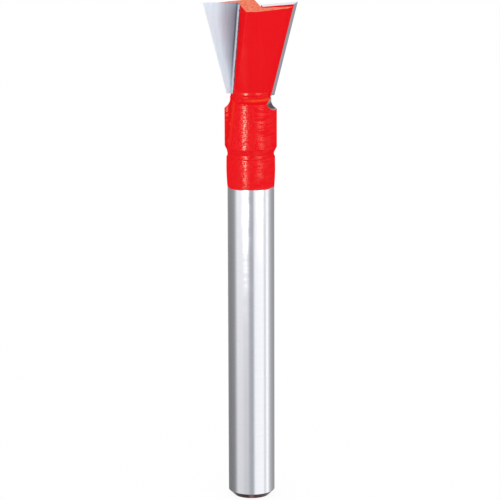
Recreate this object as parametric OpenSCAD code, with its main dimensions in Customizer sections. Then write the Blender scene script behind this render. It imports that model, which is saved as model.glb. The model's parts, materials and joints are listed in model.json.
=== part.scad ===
// Dovetail cutter: a steel shank with a flared head that carries two brazed carbide tips.
// Z is the axis of rotation and z = 0 is the end of the shank. Tip 1 points along -X with its
// cutting face towards -Y, and tip 2 is the same half a turn round. Millimetres and degrees.

/* [Shank] */
// Diameter of the straight shank
shank_d = 6.35; // [6:0.05:8]
// Width of the 45 degree chamfer at the end of the shank
shank_chamfer = 0.75; // [0.2:0.05:1.2]
// Length from the end of the shank to the corners of the tips
overall_l = 68.5; // [60:0.05:110]

/* [Collar] */
// Diameter of the collar
collar_d = 7.1; // [6.6:0.05:9]
// Length of the collar from its bevel to the neck
collar_l = 7; // [5:0.05:12]
// Length of the bevel between the shank and the collar
bevel_l = 0.8; // [0.4:0.1:2]
// Width of the shallow relief groove below the bevel
relief_w = 0.5; // [0.3:0.05:1]
// Depth of the shallow relief groove
relief_depth = 0.02; // [0.02:0.01:0.1]
// Length of the crowned band between the bare shank and the relief groove
band_l = 4.3; // [3:0.1:10]
// Rise of the crowned band above the shank
band_crown = 0.13; // [0.05:0.01:0.2]
// Drop of the highest place of the band below the relief groove
band_peak_drop = 1.3; // [0.8:0.1:1.5]

/* [Head] */
// Diameter of the circle that the tip corners cut
cutter_d = 12.7; // [11.5:0.1:16]
// Height of the cutting edges
cut_h = 12.45; // [9:0.05:14]
// Slope of the cutting edges, measured from the axis
flare = 14; // [8:0.5:16]
// Radial distance of the steel inside the cutting circle, at the end face
steel_inset = 0.45; // [0.3:0.05:0.8]
// Drop of the steel end face below the tip corners
end_recess = 0.5; // [0.3:0.05:0.8]
// Diameter of the neck
neck_d = 5.5; // [4.8:0.1:6]
// Radius of the fillet between the neck and the collar
neck_fillet = 0.75; // [0.5:0.05:1]
// Drop of the neck below the foot of the tips
neck_drop = 0.05; // [0:0.05:0.3]

/* [Flutes] */
// Angle between the cutting face and the radius through the tip corner
hook = 12; // [5:0.5:18]
// Angle between the two walls of a flute
flute_angle = 82; // [75:1:95]
// Thickness of the web between the flutes, at the end face
web_t = 2.55; // [1.5:0.05:3]
// Slope of the flute wall, which thickens the web towards the shank
web_taper = 4.7; // [2:0.1:6]
// Radius of the wheel that leaves the curved run-out of a flute
flute_wheel_r = 75; // [40:1:120]
// Drop of the start of the run-out below the foot of the tips
runout_drop = 1.6; // [0.5:0.1:3]

/* [Heels] */
// Depth of the relief flat on the back of a wing, at the end face
heel_depth = 0.73; // [0.3:0.01:1.2]
// Angle from a tip back to the middle of its heel flat
heel_angle = 55; // [45:1:65]
// Length of the heel flat from the end face to where it runs out on the cone
heel_l = 7.3; // [5:0.1:8.5]

/* [Tips] */
// Thickness of a carbide tip
tip_t = 1; // [0.8:0.05:1.6]
// Width of the land behind the cutting edge
land_w = 0.3; // [0.2:0.05:0.6]
// Clearance angle of the land, at the tip corner
land_relief = 20; // [14:0.5:24]
// Clearance angle of the flank behind the land, at the tip corner
flank_relief = 26; // [25:0.5:32]
// Clearance angle of the end of a tip
end_relief = 9; // [4:0.5:12]
// Fall of the end edge from the corner towards the axis
dish = 2.4; // [1:0.1:4]
// Width of the braze fillet on the cutting face
braze_w = 0.34; // [0.2:0.02:0.6]
// Width of the braze fillet on the flute wall
braze_h = 0.3; // [0.2:0.02:0.6]

/* [Grinding run-outs] */
// Radius of the hollow that the flank wheel leaves under a tip
scoop_r = 1.4; // [1:0.05:1.6]
// Drop of the hollow's axis below the foot of the tip
scoop_drop = 0.68; // [0.5:0.02:1.2]
// Distance of the hollow's axis outside the foot of the cutting edge
scoop_out = 1.2; // [1.1:0.02:1.8]
// Turn of the hollow's axis from the square to the cutting direction
scoop_turn = 18; // [10:1:28]

/* [Hidden] */

$fn = 96;
// Larger than the whole cutter, for cuts that run right through
reach = 2 * overall_l;

shank_r = shank_d / 2;
collar_r = collar_d / 2;
cutter_r = cutter_d / 2;
neck_r = neck_d / 2;

// Heights along the axis, from the tips down
end_z = overall_l - end_recess;
foot_z = overall_l - cut_h;
neck_z = foot_z - neck_drop;
runout_z = foot_z - runout_drop;
scoop_z = foot_z - scoop_drop;
collar_z = neck_z - collar_l;
bevel_z = collar_z - bevel_l;
relief_z = bevel_z - relief_w;
band_z = relief_z - band_l;

// Steel cone of the head, which meets the neck's fillet smoothly, and heel flat on it
head_end_r = cutter_r - steel_inset;
fillet_r = neck_r + neck_fillet;
fillet_way = atan((head_end_r - fillet_r) / (end_z - neck_z));
fillet_far = norm([head_end_r - fillet_r, end_z - neck_z]);
head_lean = fillet_way + asin(neck_fillet / fillet_far);
head_foot_r = fillet_r - neck_fillet * cos(head_lean);
head_foot_z = neck_z + neck_fillet * sin(head_lean);
heel_end_r = head_end_r - heel_depth;
heel_foot_r = head_end_r - heel_l * tan(head_lean);
heel_tilt = atan((heel_end_r - heel_foot_r) / heel_l);

// Foot of the cutting edge: its radius, and its distance along the cutting face from the corner
foot_r = cutter_r - cut_h * tan(flare);
foot_u = cutter_r * cos(hook) - sqrt(pow(foot_r, 2) - pow(cutter_r * sin(hook), 2));
edge_tilt = atan(foot_u / cut_h);
scoop_x = foot_r + scoop_out;
land_u = land_w * tan(hook + land_relief);
flank_lean = hook + flank_relief;

// The flute wall leans from the square by wall_lean and stands at wall_turn from the YZ plane
wall_lean = 90 - flute_angle;
wall_turn = hook - wall_lean;
corner_tilt = atan(tan(web_taper) / cos(wall_lean));

// Distance of the flute wall from the axis at height z
function wall_q(z) = -web_t / 2 - (end_z - z) * tan(web_taper);

// Distance along the cutting face from the tip corner to the inner corner of the flute at height z
function corner_u(z) = (wall_q(z) + cutter_r * cos(wall_turn)) / cos(wall_lean);

// Places its children at both tips
module at_both_sides() {
    for (turn = [0, 180])
        rotate(turn)
            children();
}

// Frame of tip 1: x runs inwards along the cutting face, y runs back through the tip
module on_cutting_face() {
    translate([-cutter_r, 0, 0])
        rotate(hook)
            children();
}

// Extrudes an outline drawn in x and z along y, from y0 to y1
module along_y(y0, y1) {
    translate([0, y1, 0])
        rotate([90, 0, 0])
            linear_extrude(y1 - y0)
                children();
}

// Half section of the turned blank
module blank_section() {
    crown_l = band_l - band_peak_drop;
    crown_r = (pow(crown_l, 2) + pow(band_crown, 2)) / (2 * band_crown);
    relief_r = shank_r - relief_depth;
    relief_rise = collar_r - relief_r;
    difference() {
        union() {
            polygon([
                [0, 0],
                [shank_r - shank_chamfer, 0],
                [shank_r, shank_chamfer],
                [shank_r, bevel_z],
                [collar_r, collar_z],
                [collar_r, head_foot_z],
                [head_foot_r, head_foot_z],
                [head_end_r, end_z],
                [0, end_z]
            ]);
            intersection() {
                translate([shank_r + band_crown - crown_r, band_z + crown_l])
                    circle(r = crown_r);
                translate([shank_r / 2, band_z - band_l / 2])
                    square([shank_r, relief_z + relief_w / 2 - band_z + band_l / 2]);
            }
        }
        translate([fillet_r, neck_z])
            circle(r = neck_fillet);
        polygon([
            [relief_r, relief_z + relief_depth],
            [relief_r, bevel_z - relief_depth],
            [collar_r, bevel_z - relief_depth + relief_rise],
            [collar_r, relief_z + relief_depth - relief_rise]
        ]);
    }
}

// Space that a flute takes out in front of tip 1, with the wheel's curved run-out below
module flute() {
    intersection() {
        rotate(wall_turn)
            along_y(-reach, reach) {
                polygon([
                    [wall_q(runout_z), runout_z],
                    [wall_q(reach), reach],
                    [-reach, reach],
                    [-reach, runout_z]
                ]);
                translate([
                    wall_q(runout_z) - flute_wheel_r * cos(web_taper),
                    runout_z + flute_wheel_r * sin(web_taper)
                ])
                    circle(r = flute_wheel_r, $fn = 360);
            }
        on_cutting_face()
            translate([-reach, -reach, -reach])
                cube([2 * reach, reach, 2 * reach]);
    }
}

// Outline of the seat of a tip: open at the end and outwards, closed inwards and at the foot
module seat_outline() {
    polygon([
        [-reach, foot_z],
        [corner_u(foot_z), foot_z],
        [corner_u(reach), reach],
        [-reach, reach]
    ]);
}

// Seat that tip 1 fills
module tip_seat() {
    on_cutting_face()
        along_y(0, tip_t)
            seat_outline();
}

// Flat ground on the back of the wing behind tip 1
module heel_flat() {
    rotate(180 - heel_angle)
        translate([heel_foot_r, 0, end_z - heel_l])
            rotate([0, heel_tilt, 0])
                translate([0, -reach, 0])
                    cube([reach, 2 * reach, 2 * reach]);
}

// Hollow left under tip 1 by the wheel that ground its flank
module scoop() {
    translate([-scoop_x, 0, scoop_z])
        rotate(-scoop_turn)
            rotate([90, 0, 0])
                cylinder(r = scoop_r, h = 2 * cutter_d, center = true);
}

// Stands an outline on the cutting edge of tip 1, from just below its foot to above its corner
module on_cutting_edge() {
    on_cutting_face()
        translate([0, 0, overall_l])
            rotate([0, -edge_tilt, 0])
                translate([0, 0, -cut_h / cos(edge_tilt)])
                    linear_extrude(2 * cut_h)
                        children();
}

// Steel that the flank wheel takes off the wing behind tip 1
module flank_grind() {
    on_cutting_edge()
        polygon([
            [land_u, land_w],
            [land_u + reach * sin(flank_lean), land_w + reach * cos(flank_lean)],
            [-reach, reach],
            [-reach, land_w]
        ]);
}

// Section of a tip square to its cutting edge: cutting face, land, flank and back
module tip_section() {
    flank_u = land_u + (tip_t - land_w) * tan(flank_lean);
    polygon([
        [0, 0],
        [cutter_d, 0],
        [cutter_d, tip_t],
        [flank_u, tip_t],
        [land_u, land_w]
    ]);
}

// Everything below the ground end of tip 1
module below_tip_end() {
    translate([0, 0, overall_l])
        rotate([-end_relief, 0, 0])
            rotate([0, dish, 0])
                translate([-reach, -reach, -reach])
                    cube([2 * reach, 2 * reach, reach]);
}

// Carbide tip 1: a plate in its seat, ground on the flank and the end
module carbide_tip() {
    difference() {
        on_cutting_face()
            intersection() {
                translate([0, 0, overall_l])
                    rotate([0, -edge_tilt, 0])
                        translate([0, 0, -2 * cut_h])
                            linear_extrude(3 * cut_h)
                                tip_section();
                along_y(0, tip_t)
                    seat_outline();
                below_tip_end();
            }
        intersection() {
            scoop();
            on_cutting_face()
                along_y(land_w, 2 * tip_t)
                    seat_outline();
        }
    }
}

// Braze fillet in the corner between the cutting face of tip 1 and the flute wall
module braze_seam() {
    on_face = [-braze_w, 0];
    wall_way = [-sin(wall_lean) * cos(corner_tilt), -cos(wall_lean)];
    on_wall = braze_h * wall_way / norm(wall_way);
    on_cutting_face()
        translate([corner_u(foot_z), 0, foot_z])
            rotate([0, corner_tilt, 0])
                linear_extrude((end_z - foot_z) / cos(corner_tilt))
                    polygon([[0, 0], on_face, on_wall]);
}

// Steel body, bare on the shank and coated red above it
module body() {
    color("crimson")
        difference() {
            rotate_extrude()
                blank_section();
            at_both_sides() {
                flute();
                tip_seat();
                flank_grind();
                heel_flat();
                scoop();
            }
        }
}

module carbide_tip_1() {
    color("lightsteelblue")
        carbide_tip();
}

module carbide_tip_2() {
    color("lightsteelblue")
        rotate(180)
            carbide_tip();
}

module braze_seam_1() {
    color("gainsboro")
        braze_seam();
}

module braze_seam_2() {
    color("gainsboro")
        rotate(180)
            braze_seam();
}

body();
carbide_tip_1();
carbide_tip_2();
braze_seam_1();
braze_seam_2();
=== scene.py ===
import json
import math

import bpy
from mathutils import Matrix, Vector


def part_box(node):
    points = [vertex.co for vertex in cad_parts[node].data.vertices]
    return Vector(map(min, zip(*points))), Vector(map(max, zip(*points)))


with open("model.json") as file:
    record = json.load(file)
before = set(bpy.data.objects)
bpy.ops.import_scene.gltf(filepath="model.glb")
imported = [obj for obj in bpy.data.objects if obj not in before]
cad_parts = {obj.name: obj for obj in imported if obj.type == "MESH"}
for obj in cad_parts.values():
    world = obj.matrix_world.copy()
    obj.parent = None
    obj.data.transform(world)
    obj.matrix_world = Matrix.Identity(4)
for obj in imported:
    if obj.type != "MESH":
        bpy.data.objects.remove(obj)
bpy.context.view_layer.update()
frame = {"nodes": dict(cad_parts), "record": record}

MM = 0.001

# Sizes of the cutter, as in the CAD model
SHANK = next(m for m in frame["record"]["mounts"] if m["name"] == "shank")
COAT_Z = SHANK["pos_m"][2] + SHANK["dims"]["length_mm"] / 2 * MM
TIP_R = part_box("carbide_tip_2")[1].x
TOP_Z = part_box("carbide_tip_1")[1].z
FOOT_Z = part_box("carbide_tip_1")[0].z
END_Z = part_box("body")[1].z
HOOK = math.radians(12)
TIP_T = 1.0 * MM
COLLAR_R = 3.55 * MM
COLLAR_LOW_Z = COAT_Z + 5.7 * MM
# Grinding hollow: distance from the axis, height, radius, and turn about the axis
SCOOP_X = 4.446 * MM
SCOOP_Z = FOOT_Z - 0.68 * MM
SCOOP_R = 1.4 * MM
SCOOP_TURN = math.radians(18)
# Slopes of the cutting edge and of the inner edge of a tip, and the width of its cutting face at the end
EDGE_SLOPE = 0.2607
CORNER_SLOPE = 0.083
CORNER_ALONG = 5.15 * MM
# Allowance for faces that lie on a limit
SKIN = 0.01 * MM

# Camera, from the photograph: 500 by 500 pixels on a 36 mm sensor
PHOTO_PX = 500
SENSOR_MM = 36.0
FOCAL_PX = 2769
CAMERA_AZ = math.radians(-3.18)
CAMERA_EL = math.radians(13.0)
CAMERA_ROLL = math.radians(-0.17)
CAMERA_DIST = 0.3766
CAMERA_TARGET = Vector((-0.14 * MM, 0, 34.58 * MM))
CAMERA_CLIP = 0.01

# Level of the even light, and the room that shiny surfaces see: azimuth in degrees, level, and extra blue
SOFT_LEVEL = 1.15
ROOM_STOPS = (
    (-180, 1.25), (-173, 1.25), (-167, 0.4), (-125, 0.36), (-98, 0.46), (-92, 0.58), (-86, 0.8), (-80, 1.15),
    (-74, 1.38), (-45, 1.3), (-38, 1.15), (-20, 1.15), (-15, 0.95), (-10, 0.6, 0.16), (-3, 0.57, 0.15),
    (4, 0.57, 0.13), (9, 0.75), (14, 1.4), (60, 1.5), (65, 1.05), (70, 0.95), (75, 1.25), (80, 1.7),
    (88, 1.5), (96, 1.0), (106, 0.7), (120, 0.52), (150, 0.42), (167, 0.42), (173, 1.3), (180, 1.3))
# The room is dimmer low down at the left, and has an even ceiling
LEFT_DEGREES = (-8.0, -16.0)
LEFT_DIMMED = (-0.21, -0.31, 0.0, 0.28)
CEILING_START = (0.55, 0.8)
CEILING_LEVEL = 1.2

# Strip lamps beside the collar: azimuth in degrees, width and radiance
LAMPS = {"left_lamp": (-29.5, 12 * MM, 80.0), "right_lamp": (40, 26 * MM, 7.5)}
LAMP_DIST = 60 * MM
LAMP_LOW_Z = 30.5 * MM
LAMP_HIGH_Z = 46 * MM

# Floor: half its width, its grey, and the share of plain white that the camera sees
FLOOR_HALF = 1.5
FLOOR_GREY = (0.85, 0.85, 0.85, 1.0)
FLOOR_GLOW = 0.93


def srgb(r, g, b):
    """Linear colour of an 8-bit sRGB colour."""
    def linear(c):
        c /= 255
        return c / 12.92 if c <= 0.04045 else ((c + 0.055) / 1.055) ** 2.4
    return (linear(r), linear(g), linear(b), 1.0)


WHITE = (1.0, 1.0, 1.0, 1.0)
# Coating: its red; painted sheen on its end face, the neck and the flute's floor; painted light and painted
# glints on the flute's wall; and painted light in the nook beside a tip
COAT_RED = (0.81, 0.007, 0.012, 1.0)
COAT_RED_DEEP = (0.79, 0.006, 0.011, 1.0)
END_SHEEN_ORANGE = (0.71, 0.12, 0.06, 1.0)
END_SHEEN_PALE = (0.80, 0.28, 0.165, 1.0)
NECK_SHEEN_ORANGE = (0.83, 0.056, 0.011, 1.0)
WALL_PAINTED_LIGHT = (0.88, 0.014, 0.021, 1.0)
WALL_PAINTED_GLINT = (0.92, 0.23, 0.17, 1.0)
FLUTE_SHEEN_ORANGE = (0.81, 0.042, 0.013, 1.0)
NOOK_PAINTED_LIGHT = (0.97, 0.02, 0.026, 1.0)
# Share of shine in the coating, between its grains, on them and on the head, and the tint of that shine
COAT_SHINE_LOW = 0.0012
COAT_SHINE = 0.012
HEAD_SHINE = (0.003, 0.003, 0.003, 1.0)
SHINE_TINT = (0.9, 1.0, 0.76, 1.0)
# Carbide: cutting face from its edge inwards, a painted reflection and shade, line beside the braze, flank
# from the face backwards, and end
FACE_LIGHT = (0.74, 0.84, 0.90, 1.0)
FACE_PALE = (0.70, 0.85, 0.93, 1.0)
FACE_MID = (0.49, 0.60, 0.68, 1.0)
FACE_DARK = (0.26, 0.345, 0.42, 1.0)
FACE_LINE = srgb(96, 98, 112)
FLANK_OUTER = srgb(138, 136, 144)
FLANK_INNER = srgb(147, 144, 152)
END_TINT = srgb(214, 215, 222)
# Bare steel on the shank, its chamfer with a painted dark reflection, the hollows with painted shade and
# light, the bare strip beside the braze darkened as painted shade, and braze
STEEL_LIGHT = (0.66, 0.66, 0.67, 1.0)
STEEL_DARK = (0.60, 0.60, 0.62, 1.0)
CHAMFER_DARK_REFLECTION = srgb(104, 66, 66)
HOLLOW_PAINTED_SHADE = srgb(88, 66, 70)
HOLLOW_PAINTED_LIGHT = srgb(176, 168, 172)
DARK_STRIP_SHADE = srgb(112, 60, 66)
BRAZE_LIGHT = srgb(212, 220, 230)
BRAZE_DARK = srgb(180, 187, 199)
BRAZE_BODY_SIDE_DARK = srgb(116, 72, 74)

# Scales of the noise, in cells per metre
WOBBLE_SCALE = 420.0
TONE_SCALE = 260.0
MOTTLE_SCALE = 2400.0
PEEL_SCALE = 3700.0
SHIFT_SCALE = 700.0
RAGGED_SCALE = 2600.0
SHANK_LINES_SCALE = 9000.0
SHANK_PATCH_SCALE = 350.0
HOLLOW_LINES_SCALE = 7000.0
FACE_STREAK_SCALE = 900.0
FACE_LINES_SCALE = 6500.0
BRAZE_TONE_SCALE = 1500.0
BRAZE_GRAIN_SCALE = 5000.0
# What the noise does: tone and mottle of the coating, roughness of steel, streaks and wear of carbide
TONE_RANGE = (0.3, 0.7)
MOTTLE_RANGE = (0.38, 0.64)
STEEL_ROUGH = (0.35, 0.65, 0.13, 0.21)
FACE_STREAKS = (0.0, 1.0, -0.08, 0.08)
CARBIDE_WEAR = (0.3, 0.7, 0.94, 1.04)
# Stretch of the place before noise: lines round the axis, lines up the face, and level grains
ROUND_LINES = (0.02, 0.02, 1.0)
UPRIGHT_LINES = (1.0, 1.0, 0.06)
DRAWN_OUT = (0.12, 0.12, 0.9)

# Zones, as their low end, high end and softness
NECK_FACING = (0.33, 0.7, 0.1)
GLINT_RADIUS = (COLLAR_R - 0.45 * MM, COLLAR_R - 0.18 * MM, 0.06 * MM)
GLINT_HEIGHT = (FOOT_Z - 3.4 * MM, FOOT_Z - 0.8 * MM, 0.4 * MM)
WALL_DEPTH = (-0.03 * MM, 0.03 * MM, 0.005 * MM)
WALL_HEIGHT = (COLLAR_LOW_Z, FOOT_Z + 0.02 * MM, 0.03 * MM)
FLUTE_HEIGHT = (COLLAR_LOW_Z, FOOT_Z - 0.9 * MM, 0.2 * MM)
TURNED_HEIGHT = (COAT_Z, FOOT_Z - 0.7 * MM, 0.1 * MM)
BEAD_HEIGHT = (FOOT_Z + 0.15 * MM, FOOT_Z + 0.45 * MM, 0.15 * MM)
DARK_STRIP_INNER = (-0.5 * MM, 0.1 * MM, 0.01 * MM)
DARK_STRIP_HEIGHT = (FOOT_Z, END_Z - 0.03 * MM, 0.01 * MM)
NOOK_INNER = (0.0, 0.3 * MM, 0.05 * MM)
NOOK_HEIGHT = (FOOT_Z, FOOT_Z + 0.9 * MM, 0.1 * MM)
LINE_INNER = (-0.5 * MM, -0.3 * MM, 0.06 * MM)

# Orange zones of the coating, painted sheen: how far the end looks up and its share, the flute's floor, and
# the neck
END_FACING = 0.95
END_SHARE = 0.95
FLUTE_SIDEWAYS = 0.8
FLUTE_OUT = COLLAR_R - 0.03 * MM
NECK_LOW_Z = FOOT_Z - 0.72 * MM
NECK_SIDE = (-1.2 * MM, 0.2 * MM)
FLUTE_FADE = (2.6 * MM, 3.2 * MM, 0.6, 0.1)
# Limits of the shank's chamfer, which takes a painted dark reflection, and of a tip's end, by how far they
# look up
CHAMFER_FACING = -0.3
TIP_END_FACING = 0.7
# Edge of the coating above the shank: its rise and its wobble
COAT_RISE = 0.05 * MM
COAT_WOBBLE = 0.5 * MM
# Grain of the coating: turning lines, the bead at the foot of the head, and where the grains are drawn out
RING_PITCH = 0.27 * MM
RING_SHIFT = 5.0
RING_RISE = 0.1
BEAD_RISE = 3.2
DRAWN_SIDE = 0.3 * MM
GRAIN_HEIGHT = (0.43, 0.58)
HEAD_START = (FOOT_Z + 0.6 * MM, FOOT_Z + 0.8 * MM)
# Bare strip beside the braze, darkened as painted shade: its soft far edge and raggedness, and the start of
# the nook behind it, which takes painted light
DARK_STRIP_EDGE = (-0.88 * MM, -0.72 * MM)
DARK_STRIP_RAGGED = 1.2 * MM
NOOK_DEPTH = 0.4 * MM
# Hollow: top of its bare steel, and where its rim and upper part get lighter as painted light
HOLLOW_TOP = 0.4 * MM
HOLLOW_RIM = (COLLAR_R - 0.3 * MM, COLLAR_R - 0.08 * MM)
HOLLOW_OUTER = (-1.2 * MM, -0.85 * MM, 0.15, 1.0)
HOLLOW_UPPER = (-0.4 * MM, -0.05 * MM)
# Changes down a tip from its end: the face's painted reflection gets lighter and cooler, and its line and
# the braze's fade
FACE_LOW = (7.5 * MM, 13.0 * MM, 0.0, 0.3)
FACE_RED_GAIN = (5.0 * MM, 12.4 * MM, 1.0, 1.06)
FACE_COOL_GAIN = (2.0 * MM, 12.4 * MM, 1.0, 1.4)
LINE_FADE = (5.0 * MM, 12.0 * MM, 0.8, 0.15)
BRAZE_FADE = (5.0 * MM, 12.0 * MM, 0.9, 0.3)
# Dark edge of the braze beside the tip, and depth of its darker side next to the body
BRAZE_EDGE = (-0.31 * MM, -0.24 * MM, 1.0, 0.0)
BRAZE_DARK_DEPTH = 0.16 * MM


def add(tree, kind, inputs=None, **settings):
    """Adds a shader node; an input given as a socket is linked, and any other value is set."""
    made = tree.nodes.new("ShaderNode" + kind)
    for name, value in settings.items():
        setattr(made, name, value)
    for key, value in (inputs or {}).items():
        if isinstance(value, bpy.types.NodeSocket):
            tree.links.new(value, made.inputs[key])
        else:
            made.inputs[key].default_value = value
    return made


def add_output(tree, kind, shader):
    """Output node fed by a shader node."""
    made = add(tree, kind)
    tree.links.new(shader.outputs[0], made.inputs["Surface"])


def math_node(tree, operation, *values):
    """Output of a Math node."""
    return add(tree, "Math", dict(enumerate(values)), operation=operation).outputs[0]


def times(tree, first, *others):
    """Product of numbers."""
    product = first
    for other in others:
        product = math_node(tree, "MULTIPLY", product, other)
    return product


def above(tree, value, limit):
    """Mask that is 1 over a limit."""
    return math_node(tree, "GREATER_THAN", value, limit)


def below(tree, value, limit):
    """Mask that is 1 under a limit."""
    return math_node(tree, "LESS_THAN", value, limit)


def remap(tree, value, low, high, to_low=0.0, to_high=1.0):
    """Value carried from one range to another, and held at the ends."""
    return add(tree, "MapRange", {0: value, 1: low, 2: high, 3: to_low, 4: to_high}).outputs[0]


def between(tree, value, low, high, soft):
    """Mask that is 1 between two limits, with soft edges."""
    rise = remap(tree, value, low - soft, low + soft)
    fall = remap(tree, value, high - soft, high + soft, 1.0, 0.0)
    return times(tree, rise, fall)


def scaled(tree, vector, by):
    """Vector or colour multiplied part by part."""
    return add(tree, "VectorMath", {0: vector, 1: by}, operation="MULTIPLY").outputs[0]


def mix(tree, factor, a, b):
    """Output of a colour mix from a to b."""
    made = add(tree, "Mix", {0: factor, 6: a, 7: b}, data_type="RGBA")
    return made.outputs[2]


def mix_shaders(tree, factor, a, b):
    """Shader node that goes from shader node a to b."""
    return add(tree, "MixShader", {0: factor, 1: a.outputs[0], 2: b.outputs[0]})


def ramp(tree, value, *stops):
    """Colour ramp over (position, colour) stops."""
    made = add(tree, "ValToRGB", {0: value})
    elements = made.color_ramp.elements
    while len(elements) < len(stops):
        elements.new(1.0)
    for element, (position, colour) in zip(elements, stops):
        element.position = position
        element.color = colour
    return made.outputs[0]


def noise(tree, vector, scale, detail=2.0):
    """Value of a noise texture, about 0.5 on average."""
    return add(tree, "TexNoise", {"Vector": vector, "Scale": scale, "Detail": detail}).outputs[0]


def lines_round(tree, place, fineness):
    """Noise that changes only along the axis, as turning and cylindrical grinding leave it."""
    return noise(tree, scaled(tree, place, ROUND_LINES), fineness, 3.0)


def new_material(name):
    """Empty node material and its node tree."""
    made = bpy.data.materials.new(name)
    made.use_nodes = True
    made.node_tree.nodes.clear()
    return made, made.node_tree


def make_camera():
    """Camera at the photograph's place."""
    back = Vector((math.cos(CAMERA_EL) * math.sin(CAMERA_AZ),
                   -math.cos(CAMERA_EL) * math.cos(CAMERA_AZ), math.sin(CAMERA_EL)))
    right = Vector((math.cos(CAMERA_AZ), math.sin(CAMERA_AZ), 0))
    up = back.cross(right)
    rolled_right = math.cos(CAMERA_ROLL) * right + math.sin(CAMERA_ROLL) * up
    rolled_up = -math.sin(CAMERA_ROLL) * right + math.cos(CAMERA_ROLL) * up
    data = bpy.data.cameras.new("camera")
    data.sensor_width = SENSOR_MM
    data.lens = FOCAL_PX * SENSOR_MM / PHOTO_PX
    data.clip_start = CAMERA_CLIP
    made = bpy.data.objects.new("camera", data)
    turn = Matrix((rolled_right, rolled_up, back)).transposed()
    made.matrix_world = Matrix.Translation(CAMERA_TARGET + CAMERA_DIST * back) @ turn.to_4x4()
    bpy.context.scene.collection.objects.link(made)
    bpy.context.scene.camera = made


def grey(level, blue=0.03):
    """Grey with a little blue in it."""
    return (level, level * (1 + 0.2 * blue), level * (1 + blue), 1.0)


def room_stop(degrees, level, blue=0.04):
    """Stop of the room's colour ramp, which goes once round from the rear."""
    return (0.5 + degrees / 360, grey(level, blue))


def make_world():
    """White behind the object and an even soft light; shiny surfaces see soft vertical lights on grey."""
    world = bpy.data.worlds.new("studio")
    world.use_nodes = True
    tree = world.node_tree
    tree.nodes.clear()
    way = add(tree, "SeparateXYZ", {0: add(tree, "TexCoord").outputs["Generated"]}).outputs
    azimuth = math_node(tree, "ARCTAN2", way[0], times(tree, way[1], -1.0))
    across = math_node(tree, "MULTIPLY_ADD", azimuth, 0.5 / math.pi, 0.5)
    walls = ramp(tree, across, *(room_stop(*each) for each in ROOM_STOPS))
    on_left = remap(tree, times(tree, azimuth, 180 / math.pi), *LEFT_DEGREES)
    dimmed = times(tree, on_left, remap(tree, way[2], *LEFT_DIMMED))
    walls = scaled(tree, walls, math_node(tree, "SUBTRACT", 1.0, dimmed))
    room = mix(tree, remap(tree, way[2], *CEILING_START), walls, grey(CEILING_LEVEL))
    path = add(tree, "LightPath").outputs
    colour = mix(tree, path["Is Glossy Ray"], grey(SOFT_LEVEL), room)
    colour = mix(tree, path["Is Camera Ray"], colour, WHITE)
    add_output(tree, "OutputWorld", add(tree, "Background", {"Color": colour}))
    bpy.context.scene.world = world


def make_lamps():
    """Narrow lamps that the coated collar mirrors to the camera as streaks; they light the body alone."""
    lit = bpy.data.collections.new("lit_by_lamps")
    lit.objects.link(frame["nodes"]["body"])
    middle = Vector((0, 0, (LAMP_LOW_Z + LAMP_HIGH_Z) / 2))
    for name, (azimuth, width, radiance) in LAMPS.items():
        turn = math.radians(azimuth)
        data = bpy.data.lights.new(name, "AREA")
        data.shape = "RECTANGLE"
        data.size = width
        data.size_y = LAMP_HIGH_Z - LAMP_LOW_Z
        data.energy = radiance * math.pi * data.size * data.size_y
        lamp = bpy.data.objects.new(name, data)
        away = Vector((math.sin(turn), -math.cos(turn), 0))
        facing = away.to_track_quat("Z", "Y").to_matrix().to_4x4()
        lamp.matrix_world = Matrix.Translation(LAMP_DIST * away + middle) @ facing
        lamp.light_linking.receiver_collection = lit
        lamp.visible_camera = False
        lamp.visible_diffuse = False
        bpy.context.scene.collection.objects.link(lamp)


def make_floor():
    """Plain white floor that keeps a faint shadow."""
    corners = [(-FLOOR_HALF, -FLOOR_HALF, 0), (FLOOR_HALF, -FLOOR_HALF, 0),
               (FLOOR_HALF, FLOOR_HALF, 0), (-FLOOR_HALF, FLOOR_HALF, 0)]
    mesh = bpy.data.meshes.new("floor")
    mesh.from_pydata(corners, [], [(0, 1, 2, 3)])
    floor = bpy.data.objects.new("floor", mesh)
    bpy.context.scene.collection.objects.link(floor)
    material, tree = new_material("floor_white")
    diffuse = add(tree, "BsdfDiffuse", {"Color": FLOOR_GREY})
    glow = add(tree, "Emission", {"Color": WHITE})
    share = times(tree, add(tree, "LightPath").outputs["Is Camera Ray"], FLOOR_GLOW)
    add_output(tree, "OutputMaterial", mix_shaders(tree, share, diffuse, glow))
    mesh.materials.append(material)
    floor.visible_glossy = False


def place_on_part(tree):
    """Sockets of the place on the part in the CAD frame: the vector, and its x, y and z."""
    place = add(tree, "TexCoord").outputs["Object"]
    return (place, *add(tree, "SeparateXYZ", {0: place}).outputs[:3])


def facing_on_part(tree):
    """Sockets of the x, y and z of the way that the surface faces in the CAD frame."""
    return add(tree, "SeparateXYZ", {0: add(tree, "TexCoord").outputs["Normal"]}).outputs[:3]


def place_on_tip(tree, x, y):
    """Sockets of the distances inwards along the cutting face and back from it, the same for both tips."""
    inward = math_node(tree, "SUBTRACT", TIP_R, math_node(tree, "ABSOLUTE", x))
    back = times(tree, y, math_node(tree, "SIGN", x), -1.0)
    along = math_node(tree, "ADD", times(tree, inward, math.cos(HOOK)), times(tree, back, math.sin(HOOK)))
    depth = math_node(tree, "SUBTRACT", times(tree, back, math.cos(HOOK)),
                      times(tree, inward, math.sin(HOOK)))
    return along, depth


def past_inner_edge(tree, along, drop):
    """Socket of the distance inwards from the inner edge of a tip; it is below 0 on the tip itself."""
    inner_edge = math_node(tree, "MULTIPLY_ADD", drop, -CORNER_SLOPE, CORNER_ALONG)
    return math_node(tree, "SUBTRACT", along, inner_edge)


def from_axis(tree, place):
    """Socket of the distance from the axis of rotation."""
    flat = scaled(tree, place, (1.0, 1.0, 0.0))
    return add(tree, "VectorMath", {0: flat}, operation="LENGTH").outputs["Value"]


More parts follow.
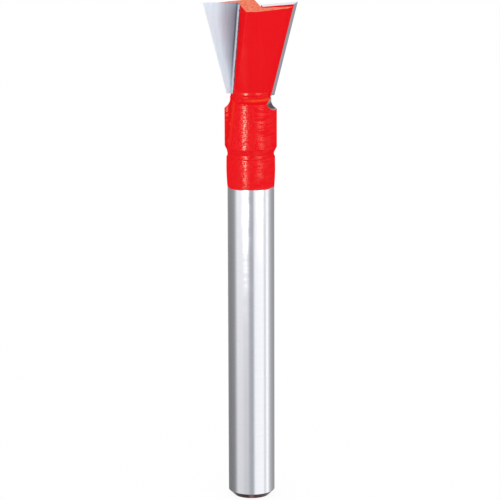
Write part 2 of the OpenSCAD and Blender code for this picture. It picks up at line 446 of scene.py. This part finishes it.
def coat_colour(tree, side, peel, painted_light_nook):
    """Red of the coating: painted sheen in orange on the end, neck and flute's floor, painted light with
    painted glints by the flute's edge, and painted light in the nook beside a tip.
    """
    place, x, y, z = place_on_part(tree)
    sideways, _, upward = facing_on_part(tree)
    tone = remap(tree, noise(tree, place, TONE_SCALE), *TONE_RANGE)
    red = mix(tree, tone, COAT_RED, COAT_RED_DEEP)

    # Painted sheen: orange where the neck faces up, on one side only
    neck_sheen = times(tree, between(tree, upward, *NECK_FACING), above(tree, z, NECK_LOW_Z),
                    remap(tree, side, *NECK_SIDE))
    red = mix(tree, neck_sheen, red, NECK_SHEEN_ORANGE)
    # Painted light: a brighter red in the nook beside a tip, where shade falls
    red = mix(tree, painted_light_nook, red, NOOK_PAINTED_LIGHT)

    radius = from_axis(tree, place)
    # Painted light and painted glints: the flute's wall on the collar is a brighter red, with pale specks
    # for highlights
    painted_glints = times(tree, between(tree, radius, *GLINT_RADIUS), between(tree, z, *GLINT_HEIGHT),
                   above(tree, peel, 0.5))
    depth = place_on_tip(tree, x, y)[1]
    on_wall = times(tree, between(tree, depth, *WALL_DEPTH), between(tree, z, *WALL_HEIGHT))
    red = mix(tree, on_wall, red, mix(tree, painted_glints, WALL_PAINTED_LIGHT, WALL_PAINTED_GLINT))

    # Painted sheen: orange on the flute's floor on the collar, fading outwards
    floor_sheen = times(tree, above(tree, math_node(tree, "ABSOLUTE", sideways), FLUTE_SIDEWAYS),
                     below(tree, radius, FLUTE_OUT), between(tree, z, *FLUTE_HEIGHT),
                     remap(tree, radius, *FLUTE_FADE))
    red = mix(tree, floor_sheen, red, FLUTE_SHEEN_ORANGE)

    # Painted sheen: the end face, looking up, turns orange and pale as if light falls on it
    on_end = times(tree, above(tree, upward, END_FACING), above(tree, z, FOOT_Z), END_SHARE)
    mottle = remap(tree, noise(tree, place, MOTTLE_SCALE, 3.0), *MOTTLE_RANGE)
    return mix(tree, on_end, red, mix(tree, mottle, END_SHEEN_ORANGE, END_SHEEN_PALE))


def coat_shader(tree, painted_light_nook):
    """Satin red coating; it shines on grains, on the collar's turning lines and on a bead at the neck."""
    place, x, y, z = place_on_part(tree)
    side = times(tree, x, math_node(tree, "SIGN", y), -1.0)
    peel = noise(tree, place, PEEL_SCALE, 1.0)
    level_grains = noise(tree, scaled(tree, place, DRAWN_OUT), PEEL_SCALE, 1.0)
    grain = mix(tree, above(tree, side, DRAWN_SIDE), peel, level_grains)
    shift = times(tree, noise(tree, place, SHIFT_SCALE), RING_SHIFT)
    phase = math_node(tree, "MULTIPLY_ADD", z, 2 * math.pi / RING_PITCH, shift)
    rings = times(tree, math_node(tree, "SINE", phase), between(tree, z, *TURNED_HEIGHT), RING_RISE)
    bead = times(tree, between(tree, z, *BEAD_HEIGHT), BEAD_RISE)
    height = math_node(tree, "ADD", math_node(tree, "ADD", grain, rings), bead)
    grains = remap(tree, height, *GRAIN_HEIGHT, COAT_SHINE_LOW, COAT_SHINE)
    shine_share = mix(tree, remap(tree, z, *HEAD_START), grains, HEAD_SHINE)
    rounded = add(tree, "Bevel", {"Radius": 0.09 * MM}, samples=8).outputs[0]
    bump = add(tree, "Bump", {"Strength": 1.0, "Distance": 0.02 * MM, "Height": height, "Normal": rounded})
    matte = add(tree, "BsdfDiffuse", {"Color": coat_colour(tree, side, peel, painted_light_nook)})
    shine = add(tree, "BsdfGlossy", {"Color": SHINE_TINT, "Roughness": 0.25, "Normal": bump.outputs[0]})
    return mix_shaders(tree, shine_share, matte, shine)


def steel_shader(tree, place):
    """Ground bare steel with fine lines round the shank, and a chamfer darkened by a painted dark
    reflection.
    """
    lines = lines_round(tree, place, SHANK_LINES_SCALE)
    patches = noise(tree, place, SHANK_PATCH_SCALE)
    both = math_node(tree, "ADD", times(tree, lines, 0.5), times(tree, patches, 0.5))
    rough = remap(tree, both, *STEEL_ROUGH)
    # Painted dark reflection: the chamfer, facing down, takes a dark brown colour
    on_chamfer = below(tree, facing_on_part(tree)[2], CHAMFER_FACING)
    tint = mix(tree, on_chamfer, mix(tree, lines, STEEL_LIGHT, STEEL_DARK), CHAMFER_DARK_REFLECTION)
    rounded = add(tree, "Bevel", {"Radius": 0.08 * MM}, samples=6).outputs[0]
    bump = add(tree, "Bump", {"Strength": 0.12, "Distance": 0.004 * MM, "Height": lines, "Normal": rounded})
    return add(tree, "BsdfPrincipled", {
        "Base Color": tint, "Metallic": 1.0, "Roughness": rough, "Normal": bump.outputs[0]})


def hollow_shader(tree, place, out, rise):
    """Ground steel of the hollows under the tips, darkened as painted shade, with painted light at the outer
    rim and at the top.
    """
    painted_light_rim = times(tree, remap(tree, from_axis(tree, place), *HOLLOW_RIM), remap(tree, out, *HOLLOW_OUTER))
    painted_light_top = remap(tree, rise, *HOLLOW_UPPER)
    tint = mix(tree, math_node(tree, "MAXIMUM", painted_light_rim, painted_light_top), HOLLOW_PAINTED_SHADE, HOLLOW_PAINTED_LIGHT)
    lines = lines_round(tree, place, HOLLOW_LINES_SCALE)
    bump = add(tree, "Bump", {"Strength": 0.3, "Distance": 0.01 * MM, "Height": lines})
    return add(tree, "BsdfPrincipled", {
        "Base Color": tint, "Metallic": 0.7, "Roughness": 0.45, "Normal": bump.outputs[0]})


def body_material():
    """Red coating above the bare shank with painted light in the nook, a bare strip beside the braze
    darkened as painted shade, and bare steel in the hollows with painted shade and light.
    """
    material, tree = new_material("coated_steel")
    place, x, y, z = place_on_part(tree)
    wobble = noise(tree, place, WOBBLE_SCALE, 3.0)
    edge = math_node(tree, "MULTIPLY_ADD", wobble, COAT_WOBBLE, COAT_Z - COAT_WOBBLE / 2 + COAT_RISE)
    coated = above(tree, z, edge)

    across = math_node(tree, "SUBTRACT", times(tree, x, math.cos(SCOOP_TURN)),
                       times(tree, y, math.sin(SCOOP_TURN)))
    out = math_node(tree, "SUBTRACT", math_node(tree, "ABSOLUTE", across), SCOOP_X * math.cos(SCOOP_TURN))
    rise = math_node(tree, "SUBTRACT", z, SCOOP_Z)
    gap = math_node(tree, "SQRT", math_node(tree, "ADD", times(tree, out, out), times(tree, rise, rise)))
    hollow = times(tree, below(tree, gap, SCOOP_R + 2 * SKIN), below(tree, rise, HOLLOW_TOP))

    along, depth = place_on_tip(tree, x, y)
    past_edge = past_inner_edge(tree, along, math_node(tree, "SUBTRACT", TOP_Z, z))
    # Painted shade: the bare steel strip beside the braze is darkened to stand for shade and a dark
    # reflection
    ragged = math_node(tree, "MULTIPLY_ADD", noise(tree, place, RAGGED_SCALE, 3.0),
                       DARK_STRIP_RAGGED, -DARK_STRIP_RAGGED / 2)
    strip = remap(tree, math_node(tree, "ADD", depth, ragged), *DARK_STRIP_EDGE)
    dark_strip = times(tree, strip, below(tree, depth, 2 * SKIN), between(tree, past_edge, *DARK_STRIP_INNER),
                     between(tree, z, *DARK_STRIP_HEIGHT))
    # Painted light: the nook beside a tip is marked for a brighter red, against its shade
    painted_light_nook = times(tree, between(tree, past_edge, *NOOK_INNER), above(tree, depth, NOOK_DEPTH),
                 between(tree, z, *NOOK_HEIGHT))

    darkened = add(tree, "BsdfPrincipled", {"Base Color": DARK_STRIP_SHADE, "Metallic": 0.3, "Roughness": 0.6})
    shown = mix_shaders(tree, coated, steel_shader(tree, place), coat_shader(tree, painted_light_nook))
    shown = mix_shaders(tree, dark_strip, shown, darkened)
    shown = mix_shaders(tree, hollow, shown, hollow_shader(tree, place, out, rise))
    add_output(tree, "OutputMaterial", shown)
    return material


def face_colour(tree, stretched, along, past_edge, drop):
    """Colour of a tip's cutting face, a painted reflection and shade: darker towards the braze, lighter
    towards the foot, with a line.
    """
    edge = times(tree, drop, EDGE_SLOPE)
    width = math_node(tree, "MULTIPLY_ADD", drop, -CORNER_SLOPE - EDGE_SLOPE, CORNER_ALONG)
    share = math_node(tree, "DIVIDE", math_node(tree, "SUBTRACT", along, edge), width)
    streak = remap(tree, noise(tree, stretched, FACE_STREAK_SCALE), *FACE_STREAKS)
    # Painted reflection and shade: the face darkens towards the braze and lightens towards the foot
    painted_shading = math_node(tree, "SUBTRACT", math_node(tree, "ADD", share, streak), remap(tree, drop, *FACE_LOW))
    tint = ramp(tree, painted_shading,
                (0.0, FACE_LIGHT), (0.32, FACE_PALE), (0.58, FACE_MID), (0.85, FACE_DARK), (1.0, FACE_DARK))
    red_gain = remap(tree, drop, *FACE_RED_GAIN)
    cool_gain = remap(tree, drop, *FACE_COOL_GAIN)
    tint = scaled(tree, tint, add(tree, "CombineXYZ", {0: red_gain, 1: cool_gain, 2: cool_gain}).outputs[0])
    line = times(tree, between(tree, past_edge, *LINE_INNER), remap(tree, drop, *LINE_FADE))
    return mix(tree, line, tint, FACE_LINE)


def carbide_material():
    """Fine-ground carbide: cutting face with painted reflection and shade, two-tone flank, pale end, coated
    back and inner end.
    """
    material, tree = new_material("carbide")
    place, x, y, z = place_on_part(tree)
    stretched = scaled(tree, place, UPRIGHT_LINES)
    along, depth = place_on_tip(tree, x, y)
    drop = math_node(tree, "SUBTRACT", TOP_Z, z)
    past_edge = past_inner_edge(tree, along, drop)
    flank_tint = ramp(tree, math_node(tree, "DIVIDE", depth, TIP_T),
                      (0.0, FLANK_OUTER), (0.3, FLANK_OUTER), (0.36, FLANK_INNER), (1.0, FLANK_INNER))
    on_end = above(tree, facing_on_part(tree)[2], TIP_END_FACING)
    on_face = below(tree, depth, SKIN)
    on_inner_end = above(tree, past_edge, -1.5 * SKIN)
    on_back = math_node(tree, "MAXIMUM", above(tree, depth, TIP_T - SKIN), on_inner_end)
    tint = mix(tree, on_face, flank_tint, face_colour(tree, stretched, along, past_edge, drop))
    tint = mix(tree, on_end, tint, END_TINT)
    lines = noise(tree, stretched, FACE_LINES_SCALE, 3.0)
    shade = scaled(tree, tint, remap(tree, lines, *CARBIDE_WEAR))
    bump = add(tree, "Bump", {"Strength": 0.15, "Distance": 0.005 * MM, "Height": lines})
    ground = add(tree, "BsdfPrincipled", {
        "Base Color": shade, "IOR": 1.3, "Roughness": 0.4, "Normal": bump.outputs[0]})
    # The inner end of a tip takes the coating with the nook's painted light
    add_output(tree, "OutputMaterial", mix_shaders(tree, on_back, ground, coat_shader(tree, on_inner_end)))
    return material


def braze_material():
    """Silver braze with a dark edge beside the tip, darker where it meets the body."""
    material, tree = new_material("braze")
    place, x, y, z = place_on_part(tree)
    along, depth = place_on_tip(tree, x, y)
    drop = math_node(tree, "SUBTRACT", TOP_Z, z)
    ragged = math_node(tree, "MULTIPLY_ADD", noise(tree, place, RAGGED_SCALE, 3.0), BRAZE_DARK_DEPTH, depth)
    darkened = below(tree, ragged, -BRAZE_DARK_DEPTH)
    edge = times(tree, remap(tree, past_inner_edge(tree, along, drop), *BRAZE_EDGE),
                 remap(tree, drop, *BRAZE_FADE))
    tint = mix(tree, noise(tree, place, BRAZE_TONE_SCALE, 3.0), BRAZE_LIGHT, BRAZE_DARK)
    tint = mix(tree, edge, tint, FACE_LINE)
    tint = mix(tree, darkened, tint, BRAZE_BODY_SIDE_DARK)
    grain = noise(tree, place, BRAZE_GRAIN_SCALE)
    bump = add(tree, "Bump", {"Strength": 0.3, "Distance": 0.01 * MM, "Height": grain})
    shader = add(tree, "BsdfPrincipled", {
        "Base Color": tint, "Metallic": 0.35, "Roughness": 0.45, "Normal": bump.outputs[0]})
    add_output(tree, "OutputMaterial", shader)
    return material


def dress(names, material):
    """Gives CAD nodes a material."""
    for name in names:
        data = frame["nodes"][name].data
        data.materials.clear()
        data.materials.append(material)


make_camera()
make_world()
make_lamps()
make_floor()
dress(["body"], body_material())
dress(["carbide_tip_1", "carbide_tip_2"], carbide_material())
dress(["braze_seam_1", "braze_seam_2"], braze_material())
bpy.context.scene.view_settings.view_transform = "Standard"
